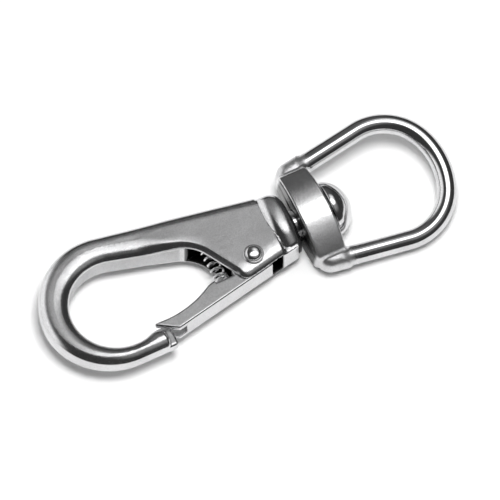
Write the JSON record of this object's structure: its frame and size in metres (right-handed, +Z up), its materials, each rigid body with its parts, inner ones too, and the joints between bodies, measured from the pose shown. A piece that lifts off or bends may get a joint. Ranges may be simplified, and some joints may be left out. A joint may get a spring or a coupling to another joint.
{
  "type": "swivel snap hook",
  "caption": "Cast stainless snap hook with a sprung gate across its bowl, and a rod eye that turns on a riveted pin at its other end, lying on its side.",
  "frame": {"origin": "middle of the eye's rounded end, on the swivel axis, at half the thickness", "axes": "+X along the swivel axis from the hook to the eye's far end; +Y in the flat of the hook, from the gate's side to the spine; +Z up out of the flat side"},
  "size_m": [0.0905, 0.0288, 0.0116],
  "materials": {
    "cast_steel": "cast and tumbled, satin flats with bright rounded edges",
    "bright_steel": "polished",
    "spring_wire": "drawn wire"
  },
  "bodies": {
    "hook": {"hook_body": "cast_steel", "gate_rivet": "bright_steel", "gate_spring": "spring_wire", "swivel_pin": "bright_steel"},
    "gate": {"gate": "cast_steel"},
    "eye": {"swivel_eye": "bright_steel"}
  },
  "joints": [
    {"name": "gate_hinge", "type": "hinge", "parent": "hook", "child": "gate", "pos_m": [-0.0321, -0.0043, 0], "axis": [0, 0, -1], "range_deg": [0, 35], "stiffness_Nm_per_rad": 0.02, "springref_deg": -28.65, "deforming": ["gate_spring"]},
    {"name": "eye_swivel", "type": "hinge", "parent": "hook", "child": "eye", "pos_m": [-0.0169, 0, 0], "axis": [1, 0, 0], "continuous": true}
  ]
}
